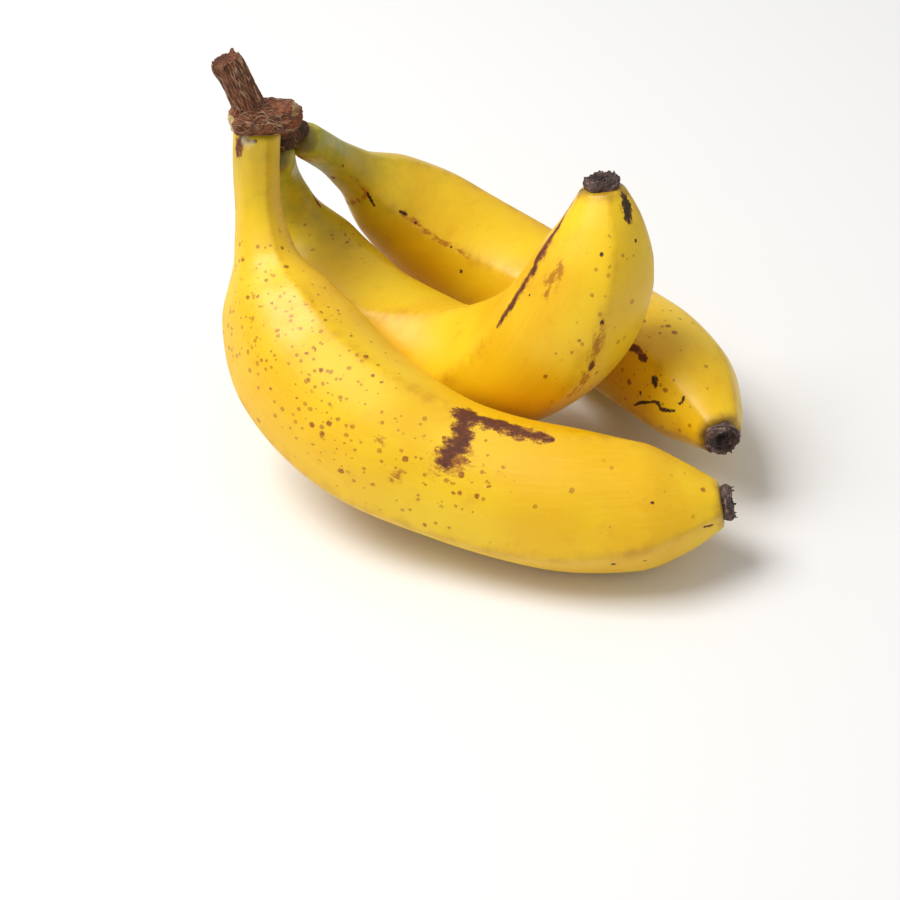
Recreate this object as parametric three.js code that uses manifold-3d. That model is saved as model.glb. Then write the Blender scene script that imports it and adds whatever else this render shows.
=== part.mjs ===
// A bunch of three bananas on one crown, lying on a flat surface on the bellies of its fruits.
// Millimetres and degrees, +Z up. The origin is on the surface, under the middle of the bunch.
import * as THREE from 'three';
import { mergeVertices } from 'three/addons/utils/BufferGeometryUtils.js';
import Module from 'manifold-3d';

const wasm = await Module();
wasm.setup();

// ---------- sizes shared by the whole bunch ----------
const LENGTH = 200; // of the middle fruit, along its curved centre from crown to blossom end
const BELLY_RADIUS = 19.4; // of the middle fruit at its thickest
const NECK_RADIUS = 5.7; // of the middle fruit's stalk
const TIP_RADIUS = 5.6; // of a fruit where its blossom end sits
const STALK_ROUNDING = 3; // how far from its rounded end a stalk has its full thickness
const FRUIT_GAP = 0.8; // between two fruits that lie against each other, and their stalks
const JOINT_GAP = 0.3; // between a fruit and the crown or blossom end that grew onto it

const BLOSSOM_HEIGHT = 3.6; // of the dry blossom end, to the top of the stub in its middle
const BLOSSOM_RIM = 2.4; // height of its rim
const BLOSSOM_INSET = 0.5; // how far its side stays within the edge of the tip
const BLOSSOM_DISH = 1.2; // depth of the dish between rim and stub
const BLOSSOM_STUB = 1.3; // radius of the stub

const CUSHION_LENGTH = 20.5; // the woody bar over the stalks, left to right
const CUSHION_DEPTH = 12;
const CUSHION_HEIGHT = 9.6;
const HEEL_WIDTH = 11; // the lump under the cushion that the middle and back stalks grow from
const HEEL_DEPTH = 12;
const HEEL_HEIGHT = 13;
const KNUCKLE_RADIUS = 3.4; // the ends of the heel, over the back stalk and inside the cushion
const STUMP_LENGTH = 21.2; // cut end of the main stem, from inside the cushion
const STUMP_RADIUS = 4.5; // where it leaves the cushion
const STUMP_TOP_RADIUS = 4.2;

const SIDES = 24; // facets around a fruit
const RINGS = 45; // rings along a fruit

// ---------- the three fruits ----------
// bend: how sharply the fruit curves at stations along it, in degrees of turn per whole length.
// sweep: the same, sideways to the bend. aim: heading, droop and roll of the stalk at the crown.
// ridges: the angles round the fruit, from the inside of its bend, where its five ridges run.
const BEND_STATIONS = [0, 0.2, 0.4, 0.62, 0.82, 1];
const SWEEP_STATIONS = [0, 0.35, 0.7, 1];

const fruits = {
  middle: {
    length: LENGTH,
    belly: BELLY_RADIUS,
    neck: NECK_RADIUS,
    tip: TIP_RADIUS,
    root: 0, // how far its stalk carries on, straight up into the crown
    aim: { heading: 97.1, droop: 34.3, roll: 183.1 },
    bend: [342, 349, 274, 266, 155, 47],
    sweep: [86, 118, -110, -179],
    ridges: [24, 98, 184, 250, 312],
    colour: '#e8b91f',
  },
  front: {
    length: LENGTH - 7,
    belly: BELLY_RADIUS + 1.2,
    neck: NECK_RADIUS + 0.7,
    tip: TIP_RADIUS,
    root: 6,
    aim: { heading: 219.5, droop: 80.5, roll: -71 },
    bend: [240, 152, 92, 55, 121, 217],
    sweep: [-22, 142, 55, -4],
    ridges: [-7, 108, 170, 230, 292],
    colour: '#edc128',
    fromMiddle: new THREE.Vector3(-4, -6.5, 9), // which way its stalk lies from the middle one
    swingAway: -1, // it swings clockwise to get clear of the middle fruit
  },
  back: {
    length: LENGTH + 0.5,
    belly: BELLY_RADIUS - 2,
    neck: NECK_RADIUS - 0.3,
    tip: TIP_RADIUS + 0.2,
    root: 0,
    aim: { heading: 68.5, droop: 44.6, roll: 125.7 },
    bend: [86, 199, 226, 124, 21, -8],
    sweep: [19, 49, -38, -105],
    ridges: [2, 72, 142, 211, 281],
    colour: '#e3b21c',
    fromMiddle: new THREE.Vector3(7.5, 9, 0),
    swingAway: 1,
  },
};

// ---------- shape of one fruit ----------
// How the thickness runs along a fruit: up to 0.76 it grows from the stalk's radius (0) to the
// belly's (1), and from 0.88 it falls from the belly's (1) to the tip's (0).
const GIRTH_STATIONS = [0, 0.08, 0.16, 0.24, 0.34, 0.48, 0.62, 0.76, 0.88, 0.95, 1];
const GIRTH_FROM_NECK = [0, 0, 0.15, 0.69, 1, 1.05, 0.93, 0.95];
const GIRTH_FROM_TIP = [0.79, 0.4, 0];

const RIDGE_SHARE = 0.24; // 0 is a round section, 1 a five-sided one with sharp ridges
const RIDGE_SHARPNESS = 14;
const RIDGE_STAND = 1.035; // ridges stand this much further out than the mean radius

const degrees = THREE.MathUtils.degToRad;

// A smooth curve through values at stations that never overshoots them.
function smoothThrough(stations, values, at) {
  const last = stations.length - 1;
  const steps = stations.slice(1).map((s, i) => s - stations[i]);
  const slopes = steps.map((step, i) => (values[i + 1] - values[i]) / step);
  const tangents = values.map((_, i) => {
    if (i === 0) return slopes[0];
    if (i === last) return slopes[last - 1];
    if (slopes[i - 1] * slopes[i] <= 0) return 0;
    const before = 2 * steps[i] + steps[i - 1];
    const after = steps[i] + 2 * steps[i - 1];
    return (before + after) / (before / slopes[i - 1] + after / slopes[i]);
  });
  let i = 0;
  while (i < last - 1 && at > stations[i + 1]) i += 1;
  const u = THREE.MathUtils.clamp((at - stations[i]) / steps[i], 0, 1);
  const a = values[i] * (1 + 2 * u) * (1 - u) ** 2 + values[i + 1] * u * u * (3 - 2 * u);
  const b = tangents[i] * u * (1 - u) ** 2 - tangents[i + 1] * u * u * (1 - u);
  return a + b * steps[i];
}

function straightThrough(stations, values, at) {
  let i = 0;
  while (i < stations.length - 2 && at > stations[i + 1]) i += 1;
  return THREE.MathUtils.mapLinear(at, stations[i], stations[i + 1], values[i], values[i + 1]);
}

function girth(fruit, at) {
  const values = [
    ...GIRTH_FROM_NECK.map((share) => fruit.neck + (fruit.belly - fruit.neck) * share),
    ...GIRTH_FROM_TIP.map((share) => fruit.tip + (fruit.belly - fruit.tip) * share),
  ];
  return smoothThrough(GIRTH_STATIONS, values, at);
}

// The section's radius at an angle, for a mean radius of about 1: a rounded five-sided shape.
function section(fruit, angle) {
  const { ridges } = fruit;
  let sum = 0;
  ridges.forEach((ridge, i) => {
    const next = i + 1 < ridges.length ? ridges[i + 1] : ridges[0] + 360;
    const half = degrees((next - ridge) / 2);
    const reach = Math.cos(angle - degrees(ridge) - half) / Math.cos(half);
    if (reach > 0) sum += reach ** RIDGE_SHARPNESS;
  });
  const fiveSided = sum ** (-1 / RIDGE_SHARPNESS);
  return RIDGE_STAND * (1 - RIDGE_SHARE + RIDGE_SHARE * fiveSided);
}

// The curved centre of a fruit, from the crown at the origin: places and frames at even steps.
const CENTRE_STEPS = 200;
function centreOf(fruit) {
  const aim = new THREE.Matrix4()
    .makeRotationZ(degrees(fruit.aim.heading))
    .multiply(new THREE.Matrix4().makeRotationY(degrees(fruit.aim.droop)))
    .multiply(new THREE.Matrix4().makeRotationX(degrees(fruit.aim.roll)));
  const stations = [];
  const place = new THREE.Vector3();
  const step = 1 / CENTRE_STEPS;
  let turn = 0;
  let drift = 0;
  for (let i = 0; i <= CENTRE_STEPS; i += 1) {
    const at = i * step;
    const along = new THREE.Vector3(
      Math.cos(turn) * Math.cos(drift),
      Math.sin(drift),
      Math.sin(turn) * Math.cos(drift),
    );
    const inside = new THREE.Vector3(-Math.sin(turn), 0, Math.cos(turn));
    stations.push({
      place: place.clone().applyMatrix4(aim),
      along: along.clone().applyMatrix4(aim),
      inside: inside.applyMatrix4(aim),
    });
    place.addScaledVector(along, fruit.length * step);
    turn += degrees(smoothThrough(BEND_STATIONS, fruit.bend, at + step / 2)) * step;
    drift += degrees(straightThrough(SWEEP_STATIONS, fruit.sweep, at + step / 2)) * step;
  }
  return stations;
}

// Place and frame at any point along a fruit, as it lies in the bunch.
function frameAt(fruit, at) {
  const i = Math.min(Math.floor(at * CENTRE_STEPS), CENTRE_STEPS - 1);
  const u = at * CENTRE_STEPS - i;
  const [a, b] = [fruit.centre[i], fruit.centre[i + 1]];
  const along = a.along.clone().lerp(b.along, u).normalize();
  const inside = a.inside.clone().lerp(b.inside, u);
  inside.addScaledVector(along, -inside.dot(along)).normalize();
  const side = along.clone().cross(inside);
  const place = a.place.clone().lerp(b.place, u);
  const frame = { place, along, inside, side };
  frame.place.applyMatrix4(fruit.lie);
  for (const axis of [along, inside, side]) axis.transformDirection(fruit.lie);
  return frame;
}

// How far a fruit's skin is from its centre, towards a direction.
function reachTowards(fruit, frame, at, direction) {
  const angle = Math.atan2(direction.dot(frame.side), direction.dot(frame.inside));
  return girth(fruit, at) * section(fruit, angle);
}

// ---------- how the fruits lie ----------
const stationsFrom = (from, to, count) =>
  Array.from({ length: count }, (_, i) => from + ((to - from) * i) / (count - 1));
const SHOULDER = 0.34; // where the stalk's flare has become the fruit's body
const NECK_STATIONS = stationsFrom(0.02, SHOULDER, 18);
const BODY_STATIONS = stationsFrom(SHOULDER, 1, 34);

function lowest(fruit) {
  const down = new THREE.Vector3(0, 0, -1);
  let best = { height: Infinity };
  for (const at of BODY_STATIONS) {
    const frame = frameAt(fruit, at);
    const height = frame.place.z - reachTowards(fruit, frame, at, down);
    if (height < best.height) best = { height, place: frame.place };
  }
  return best;
}

function gapBetween(one, two, stations) {
  const frames = (fruit) => stations.map((at) => ({ at, frame: frameAt(fruit, at) }));
  const others = frames(two);
  let gap = Infinity;
  for (const a of frames(one)) {
    for (const b of others) {
      const way = b.frame.place.clone().sub(a.frame.place);
      const apart = way.length();
      way.divideScalar(apart);
      const skins = reachTowards(one, a.frame, a.at, way)
        + reachTowards(two, b.frame, b.at, way.clone().negate());
      gap = Math.min(gap, apart - skins);
    }
  }
  return gap;
}

// Halves a range until measure() turns from below zero to above it.
function solve(low, high, measure) {
  let [from, to] = [low, high];
  for (let i = 0; i < 16; i += 1) {
    const mid = (from + to) / 2;
    if (measure(mid) < 0) from = mid;
    else to = mid;
  }
  measure(to);
  return to;
}

const { front, middle, back } = fruits;
for (const fruit of [front, middle, back]) fruit.centre = centreOf(fruit);

// The middle fruit lies as it is aimed, so its belly sets how high the crown is held.
middle.lie = new THREE.Matrix4();
const crownHeight = -lowest(middle).height;
middle.lie.makeTranslation(0, 0, crownHeight);

function lay(fruit, apart, tilt, swing) {
  const start = fruit.fromMiddle.clone().setLength(apart);
  fruit.lie = new THREE.Matrix4()
    .makeTranslation(start.x, start.y, start.z + crownHeight)
    .multiply(new THREE.Matrix4().makeRotationZ(degrees(swing * fruit.swingAway)))
    .multiply(new THREE.Matrix4().makeRotationAxis(fruit.tiltAxis, degrees(tilt)));
}

const TILT_LIMIT = 25;
const SWING_LIMIT = 40;
const APART_LIMIT = 40;
for (const fruit of [front, back]) {
  // The level line that it tilts about runs across it, through the top of its stalk.
  fruit.tiltAxis = new THREE.Vector3(0, 0, 1);
  lay(fruit, 0, 0, 0);
  const { place } = lowest(fruit);
  fruit.tiltAxis = new THREE.Vector3(place.y, -place.x, 0).normalize();
  // Its stalk moves away from the middle one until they are clear. Each time its belly is set
  // down on the surface, and it swings out if it would press into the middle fruit.
  solve(fruit.neck + middle.neck + FRUIT_GAP, APART_LIMIT, (apart) => {
    const tilt = solve(-TILT_LIMIT, TILT_LIMIT, (angle) => {
      lay(fruit, apart, angle, 0);
      return lowest(fruit).height;
    });
    solve(0, SWING_LIMIT, (angle) => {
      lay(fruit, apart, tilt, angle);
      return gapBetween(fruit, middle, BODY_STATIONS) - FRUIT_GAP;
    });
    return gapBetween(fruit, middle, NECK_STATIONS) - FRUIT_GAP;
  });
}

// ---------- solids ----------
// A straight turned shape, wrapped along a fruit's centre. Profile points are the radius as a
// share of the fruit's, and the distance along it.
function turnedAlong(fruit, profile, sides, grow = 0) {
  const points = profile.map(([share, distance]) => new THREE.Vector2(share, distance));
  const geometry = new THREE.LatheGeometry(points, sides);
  const position = geometry.attributes.position;
  for (let i = 0; i < position.count; i += 1) {
    const [x, distance, z] = [position.getX(i), position.getY(i), position.getZ(i)];
    const share = Math.hypot(x, z);
    const angle = Math.atan2(x, z);
    const at = distance / fruit.length;
    const frame = frameAt(fruit, THREE.MathUtils.clamp(at, 0, 1));
    const radius = share * (girth(fruit, at) * section(fruit, angle) + grow);
    const beyond = distance - THREE.MathUtils.clamp(at, 0, 1) * fruit.length;
    frame.place
      .addScaledVector(frame.inside, radius * Math.cos(angle))
      .addScaledVector(frame.side, radius * Math.sin(angle))
      .addScaledVector(frame.along, beyond);
    position.setXYZ(i, frame.place.x, frame.place.y, frame.place.z);
  }
  return tidied(geometry);
}

function tidied(geometry) {
  geometry.deleteAttribute('normal');
  geometry.deleteAttribute('uv');
  return mergeVertices(geometry, 1e-4);
}

function solidOf(geometry) {
  return new wasm.Manifold(new wasm.Mesh({
    numProp: 3,
    vertProperties: new Float32Array(geometry.attributes.position.array),
    triVerts: new Uint32Array(geometry.index.array),
  }));
}

function geometryOf(solid) {
  const mesh = solid.getMesh();
  const geometry = new THREE.BufferGeometry();
  geometry.setAttribute('position', new THREE.BufferAttribute(mesh.vertProperties, 3));
  geometry.setIndex(new THREE.BufferAttribute(mesh.triVerts, 1));
  return geometry;
}

// A fruit's profile from the rounded end of its stalk to a flat face.
function stalkProfile(from, to, rings) {
  const full = from + STALK_ROUNDING;
  return [
    [0, from],
    [0.5, from],
    [0.85, from + STALK_ROUNDING / 3],
    ...stationsFrom(full, to, rings).map((distance) => [1, distance]),
    [0, to],
  ];
}

function fruitGeometry(fruit) {
  const profile = stalkProfile(-fruit.root, fruit.length - JOINT_GAP, RINGS);
  return turnedAlong(fruit, profile, SIDES);
}

// The dry blossom end: a short black cap with a dished face, straight on past the tip.
function blossomGeometry(fruit) {
  const rim = fruit.tip - BLOSSOM_INSET;
  const dish = BLOSSOM_RIM - BLOSSOM_DISH;
  const profile = [
    [0, 0],
    [rim, 0],
    [rim, BLOSSOM_RIM * 0.8],
    [rim * 0.9, BLOSSOM_RIM],
    [(rim + BLOSSOM_STUB) / 2, dish + BLOSSOM_DISH * 0.2],
    [BLOSSOM_STUB, dish],
    [BLOSSOM_STUB * 0.8, BLOSSOM_HEIGHT],
    [0, BLOSSOM_HEIGHT],
  ];
  const shares = profile.map(([radius, height]) => [radius / fruit.tip, fruit.length + height]);
  return turnedAlong(fruit, shares, SIDES);
}

// ---------- the crown ----------
const STALK_SHARE = 0.16; // how much of a fruit is stalk
const STALK_RINGS = 9;
// Where the lumps are: the first four from the start of the front stalk, the last of the back one.
const CUSHION_AT = new THREE.Vector3(2.8, 0, 9);
const HEEL_AT = new THREE.Vector3(6.8, 8, -1);
const HEEL_TOP_AT = new THREE.Vector3(8.4, 3, 9);
const STUMP_AT = new THREE.Vector3(1, 0, 7.8);
const HEEL_END_AT = new THREE.Vector3(-2, -1, 4);
const STUMP_LEAN = new THREE.Vector3(-8.5, 2, 22.6).normalize();

function lump(width, depth, height, place) {
  const geometry = new THREE.SphereGeometry(0.5, 20, 14);
  geometry.rotateX(Math.PI / 2);
  geometry.scale(width, depth, height);
  geometry.translate(place.x, place.y, place.z);
  return solidOf(tidied(geometry));
}

// A round-ended bar, left to right.
function cushionAt(place) {
  const straight = CUSHION_LENGTH - CUSHION_DEPTH;
  const geometry = new THREE.CapsuleGeometry(CUSHION_DEPTH / 2, straight, 6, 20);
  geometry.rotateZ(Math.PI / 2);
  geometry.scale(1, 1, CUSHION_HEIGHT / CUSHION_DEPTH);
  geometry.translate(place.x, place.y, place.z);
  return solidOf(tidied(geometry));
}

function stumpFrom(foot, direction) {
  const profile = [
    [0, 0],
    [STUMP_RADIUS, 0],
    [STUMP_RADIUS, STUMP_LENGTH * 0.35],
    [STUMP_TOP_RADIUS, STUMP_LENGTH * 0.72],
    [STUMP_TOP_RADIUS * 1.06, STUMP_LENGTH * 0.93],
    [STUMP_TOP_RADIUS * 0.8, STUMP_LENGTH],
    [0, STUMP_LENGTH],
  ];
  const points = profile.map(([radius, height]) => new THREE.Vector2(radius, height));
  const geometry = new THREE.LatheGeometry(points, 16);
  const upright = new THREE.Vector3(0, 1, 0);
  geometry.applyQuaternion(new THREE.Quaternion().setFromUnitVectors(upright, direction));
  geometry.translate(foot.x, foot.y, foot.z);
  return solidOf(tidied(geometry));
}

// The crown, less the stalks that end in it. Its lumps are placed from the ends of the stalks.
function crownGeometry() {
  const beside = (fruit, offset) => frameAt(fruit, 0).place.add(offset);
  const cushion = cushionAt(beside(front, CUSHION_AT));
  const heel = lump(HEEL_WIDTH, HEEL_DEPTH, HEEL_HEIGHT, beside(front, HEEL_AT));
  const across = KNUCKLE_RADIUS * 2;
  const knuckles = [beside(back, HEEL_END_AT), beside(front, HEEL_TOP_AT)].map((place) =>
    lump(across, across, across, place));
  const stump = stumpFrom(beside(front, STUMP_AT), STUMP_LEAN);
  let crown = wasm.Manifold.hull([heel, ...knuckles]).add(cushion).add(stump);
  for (const fruit of [front, middle, back]) {
    const profile = stalkProfile(-fruit.root - JOINT_GAP, fruit.length * STALK_SHARE, STALK_RINGS);
    crown = crown.subtract(solidOf(turnedAlong(fruit, profile, SIDES, JOINT_GAP)));
  }
  // Shreds that the stalks cut off are dropped.
  const [whole] = crown.decompose().sort((a, b) => b.volume() - a.volume());
  return geometryOf(whole);
}

// ---------- the bunch ----------
const bunch = new THREE.Group();

function addPiece(name, geometry, color, roughness) {
  const material = new THREE.MeshStandardMaterial({ color, roughness, metalness: 0 });
  const mesh = new THREE.Mesh(geometry, material);
  mesh.name = name;
  bunch.add(mesh);
}

for (const [name, fruit] of Object.entries({ front, middle, back })) {
  addPiece(`banana_${name}`, fruitGeometry(fruit), fruit.colour, 0.45);
  addPiece(`blossom_end_${name}`, blossomGeometry(fruit), '#2b211d', 0.95);
}
addPiece('crown', crownGeometry(), '#6b4a35', 0.9);

// The origin goes on the surface, under the middle of the bunch's box.
const box = new THREE.Box3().setFromObject(bunch);
const middleOfBox = box.getCenter(new THREE.Vector3());
bunch.position.set(-middleOfBox.x, -middleOfBox.y, -box.min.z);

export default bunch;
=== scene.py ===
# A bunch of three ripe bananas on one dried crown, lying on its bellies on a pale table.
import bmesh
import bpy
import math
import numpy as np
from mathutils import Matrix, Vector, noise
from mathutils.bvhtree import BVHTree


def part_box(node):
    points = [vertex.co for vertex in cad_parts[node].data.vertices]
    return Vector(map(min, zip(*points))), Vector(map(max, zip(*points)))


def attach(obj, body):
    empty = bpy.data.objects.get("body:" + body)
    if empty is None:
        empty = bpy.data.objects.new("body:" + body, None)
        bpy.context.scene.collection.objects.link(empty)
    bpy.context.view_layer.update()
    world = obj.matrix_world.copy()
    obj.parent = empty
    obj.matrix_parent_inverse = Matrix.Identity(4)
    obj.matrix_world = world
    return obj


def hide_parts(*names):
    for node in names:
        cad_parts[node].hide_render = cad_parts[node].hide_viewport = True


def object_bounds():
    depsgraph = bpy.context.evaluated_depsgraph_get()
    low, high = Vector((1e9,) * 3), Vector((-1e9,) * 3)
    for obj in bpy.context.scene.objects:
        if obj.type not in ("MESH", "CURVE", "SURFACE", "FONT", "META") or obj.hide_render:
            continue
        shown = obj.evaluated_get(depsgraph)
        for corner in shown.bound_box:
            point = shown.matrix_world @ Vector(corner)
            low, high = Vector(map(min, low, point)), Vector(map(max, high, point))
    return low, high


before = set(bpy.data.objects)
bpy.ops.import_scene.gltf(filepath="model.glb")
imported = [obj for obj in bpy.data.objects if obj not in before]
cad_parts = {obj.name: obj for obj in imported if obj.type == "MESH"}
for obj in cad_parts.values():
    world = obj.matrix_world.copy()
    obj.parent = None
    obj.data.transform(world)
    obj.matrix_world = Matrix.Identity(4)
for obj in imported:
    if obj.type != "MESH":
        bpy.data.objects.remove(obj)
cad_box = [list(corner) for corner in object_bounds()]
MM = 0.001

# ---------- the bananas ----------
# Three curved berries of dessert banana, each one skin from its stalk to its tip.
# The peel is fibrous and waxy: yellow with green left at the stalks, deepened on the middle and
# back fruits to paint the shade on their necks, sugar freckles, rub bruises along the ridges and
# small dry scars.
BEND_STATIONS = [0, 0.2, 0.4, 0.62, 0.82, 1]
SWEEP_STATIONS = [0, 0.35, 0.7, 1]
GIRTH_STATIONS = [0, 0.08, 0.16, 0.24, 0.34, 0.48, 0.62, 0.76, 0.88, 0.95, 1]
GIRTH_FROM_NECK = [0, 0, 0.15, 0.69, 1, 1.05, 0.93, 0.95]
GIRTH_FROM_TIP = [0.79, 0.4, 0]
RIDGE_SHARE = 0.36
RIDGE_SHARPNESS = 18
RIDGE_STAND = 1.045
AROUND = 168
ALONG = 400
CENTRE_STEPS = 400
STALK_ROUNDING = 3
TIP_ROLL = 1.2
END_ROWS = 14
SWELLING = 0.35
RIDGE_BREADTH = 7.0
FEWEST_FRECKLES = 0.02

# Radii and lengths in mm, angles in degrees. root and hidden: how far the stalk runs straight on
# past its start, seen and unseen. turn: heading, droop and roll. bend and sweep: turn rates per
# whole length. The neck's green: where it starts to fade, where it ends, and the most of it. It is
# the stalk's own olive, and where its most is full it also paints the shade on the neck. seam:
# where the mesh closes. freckles: from place, to place, reach in mm, density. Marks are runs of
# places (share of the length, angle round from the inside of the bend), each with its half width
# in mm.
FRUITS = {
    "middle": dict(
        length=200, belly=19.4, neck=5.7, tip=5.6, root=0, hidden=3,
        turn=(97.10, 34.30, -176.90),
        bend=[342, 349, 274, 266, 155, 47], sweep=[86, 118, -110, -179],
        ridges=[24, 98, 184, 250, 312],
        # Its green at full strength also paints the shade cast on this neck by the front fruit's stalk.
        green_and_neck_shade=(0.05, 0.42, 1.0), seam=330,
        freckles=[((0.21, 306), (0.26, 312), 9, 0.6), ((0.75, 185), (0.95, 175), 8, 0.3)],
        marks=[
            ("bruise", 0.5, [(0.996, 81), (0.97, 79), (0.945, 88)]),
            ("bruise", 1.5, [(0.95, 89), (0.919, 94), (0.892, 98), (0.863, 100)]),
            ("bruise", 0.9, [(0.88, 99), (0.826, 99), (0.747, 98)]),
            ("smudge", 1.8, [(0.95, 89), (0.892, 98), (0.83, 99)]),
            ("smudge", 2.2, [(0.9, 128), (0.87, 124), (0.85, 127)]),
            ("smudge", 1.6, [(0.85, 183), (0.83, 186), (0.80, 190), (0.75, 194)]),
            ("scab", 1.8, [(0.986, 227), (0.978, 222), (0.966, 215)]),
            ("scab", 0.6, [(0.939, 219), (0.9395, 220)]),
            ("scab", 0.6, [(0.928, 170), (0.9285, 171)]),
            ("scab", 0.6, [(0.85, 183), (0.852, 184)]),
            ("bruise", 0.9, [(0.799, 190), (0.79, 191)]),
            ("scab", 0.5, [(0.831, 109), (0.832, 110)]),
            ("bruise", 0.8, [(0.158, 267), (0.173, 277)]),
        ],
    ),
    "front": dict(
        length=193, belly=20.6, neck=6.4, tip=5.6, root=6, hidden=0,
        turn=(-126.81, 80.64, -55.89),
        bend=[240, 152, 92, 55, 121, 217], sweep=[-22, 142, 55, -4],
        ridges=[-7, 108, 170, 230, 292],
        green_and_neck_shade=(0.03, 0.22, 0.4), seam=230,
        freckles=[
            ((0.23, 45), (0.30, 60), 16, 1.0), ((0.30, 20), (0.45, 45), 15, 0.95),
            ((0.45, 60), (0.62, 56), 12, 0.6), ((0.60, 395), (0.66, 410), 9, 0.8),
            ((0.75, 60), (0.95, 60), 14, 0.06),
        ],
        marks=[
            ("bruise", 2.6, [(0.597, 354), (0.612, 354), (0.628, 355)]),
            ("bruise", 2.0, [(0.610, 354), (0.668, 355), (0.732, 360)]),
            ("bruise", 1.1, [(0.66, 355), (0.716, 359), (0.745, 361)]),
            ("bruise", 2.8, [(0.610, 356), (0.616, 368), (0.618, 382)]),
            ("bruise", 4.2, [(0.617, 381), (0.609, 394)]),
            ("smudge", 4.6, [(0.622, 384), (0.612, 404)]),
            ("smudge", 1.4, [(0.553, 70), (0.56, 62)]),
            ("smudge", 1.4, [(0.514, 40), (0.52, 44)]),
            ("scab", 0.5, [(0.79, 113), (0.791, 113)]),
            ("scab", 0.6, [(0.85, 119), (0.853, 120)]),
            ("scab", 0.5, [(0.891, 125), (0.893, 126)]),
            ("bruise", 0.5, [(0.90, 63), (0.902, 64)]),
            ("bruise", 0.5, [(0.97, 117), (0.98, 124)]),
            ("pale", 1.5, [(-0.018, 30), (-0.014, 45), (-0.02, 62)]),
            ("bruise", 1.6, [(-0.02, 66), (-0.008, 76), (0.01, 80)]),
            ("bruise", 0.7, [(-0.015, 66), (-0.02, 20)]),
        ],
    ),
    "back": dict(
        length=200.5, belly=17.4, neck=5.4, tip=5.8, root=0, hidden=4,
        turn=(68.32, 44.51, 125.44),
        bend=[86, 199, 226, 124, 21, -8], sweep=[19, 49, -38, -105],
        ridges=[2, 72, 142, 211, 281],
        # Its green at full strength also paints the shade on this neck.
        green_and_neck_shade=(0.06, 0.36, 1.0), seam=170,
        freckles=[((0.62, 330), (0.80, 340), 14, 0.35), ((0.8, 30), (0.9, 20), 12, 0.5)],
        marks=[
            ("smudge", 1.0, [(0.12, 0), (0.173, 10), (0.24, 358), (0.30, 360), (0.41, 362)]),
            ("scab", 0.5, [(0.173, 11), (0.18, 14), (0.197, 19)]),
            ("scab", 0.6, [(0.232, 358), (0.246, 357)]),
            ("scab", 0.5, [(0.268, 358), (0.27, 359)]),
            ("scab", 0.5, [(0.362, 361), (0.364, 362)]),
            ("bruise", 0.6, [(0.409, 378), (0.412, 380)]),
            ("bruise", 0.6, [(0.091, 352), (0.094, 353)]),
            ("bruise", 0.7, [(0.111, 51), (0.115, 52)]),
            ("bruise", 1.1, [(0.815, 7), (0.84, 6), (0.861, 7)]),
            ("scab", 1.3, [(0.892, 16), (0.90, 20)]),
            ("scab", 0.6, [(0.876, 40), (0.879, 42)]),
            ("scab", 0.5, [(0.867, 60), (0.885, 50), (0.904, 42)]),
            ("scab", 0.55, [(0.904, 42), (0.917, 37), (0.922, 44), (0.934, 40), (0.945, 33)]),
            ("scab", 0.5, [(0.947, 19), (0.95, 12), (0.948, 5)]),
            ("smudge", 3.0, [(0.0, 47), (0.02, 47)]),
        ],
    ),
}


def smooth_through(stations, values, at):
    """A curve through values at stations that never overshoots them."""
    x, y = np.array(stations, float), np.array(values, float)
    step = np.diff(x)
    slope = np.diff(y) / step
    tangent = np.zeros(len(x))
    tangent[0], tangent[-1] = slope[0], slope[-1]
    for i in range(1, len(x) - 1):
        if slope[i - 1] * slope[i] > 0:
            before = 2 * step[i] + step[i - 1]
            after = step[i] + 2 * step[i - 1]
            tangent[i] = (before + after) / (before / slope[i - 1] + after / slope[i])
    at = np.atleast_1d(np.asarray(at, float))
    i = np.clip(np.searchsorted(x, at) - 1, 0, len(step) - 1)
    u = np.clip((at - x[i]) / step[i], 0, 1)
    main = y[i] * (1 + 2 * u) * (1 - u) ** 2 + y[i + 1] * u * u * (3 - 2 * u)
    lean = tangent[i] * u * (1 - u) ** 2 - tangent[i + 1] * u * u * (1 - u)
    return main + lean * step[i]


def turned(turn):
    heading, droop, roll = (math.radians(a) for a in turn)
    return np.array(
        Matrix.Rotation(heading, 3, "Z") @ Matrix.Rotation(droop, 3, "Y")
        @ Matrix.Rotation(roll, 3, "X")
    )


def centre_of(fruit):
    """Places and frames at even steps along a fruit's curved centre, from its stalk at 0."""
    step = 1 / CENTRE_STEPS
    at = (np.arange(CENTRE_STEPS) + 0.5) * step
    turn = np.r_[0, np.cumsum(np.radians(smooth_through(BEND_STATIONS, fruit["bend"], at)) * step)]
    sway = np.interp(at, SWEEP_STATIONS, fruit["sweep"])
    drift = np.r_[0, np.cumsum(np.radians(sway) * step)]
    along = np.stack([np.cos(turn) * np.cos(drift), np.sin(drift), np.sin(turn) * np.cos(drift)], 1)
    inside = np.stack([-np.sin(turn), 0 * turn, np.cos(turn)], 1)
    place = np.vstack([[0, 0, 0], np.cumsum(along[:-1] * fruit["length"] * step, 0)])
    aim = turned(fruit["turn"]).T
    return place @ aim, along @ aim, inside @ aim


def girth(fruit, at):
    neck, belly, tip = fruit["neck"], fruit["belly"], fruit["tip"]
    values = [neck + (belly - neck) * s for s in GIRTH_FROM_NECK]
    values += [tip + (belly - tip) * s for s in GIRTH_FROM_TIP]
    return smooth_through(GIRTH_STATIONS, values, at)


def section(fruit, angle):
    ridges = fruit["ridges"] + [fruit["ridges"][0] + 360]
    total = np.zeros_like(angle)
    for a, b in zip(ridges, ridges[1:]):
        half = math.radians((b - a) / 2)
        reach = np.cos(angle - math.radians(a) - half) / math.cos(half)
        total += np.maximum(reach, 0) ** RIDGE_SHARPNESS
    return RIDGE_STAND * (1 - RIDGE_SHARE + RIDGE_SHARE * total ** (-1 / RIDGE_SHARPNESS))


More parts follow.
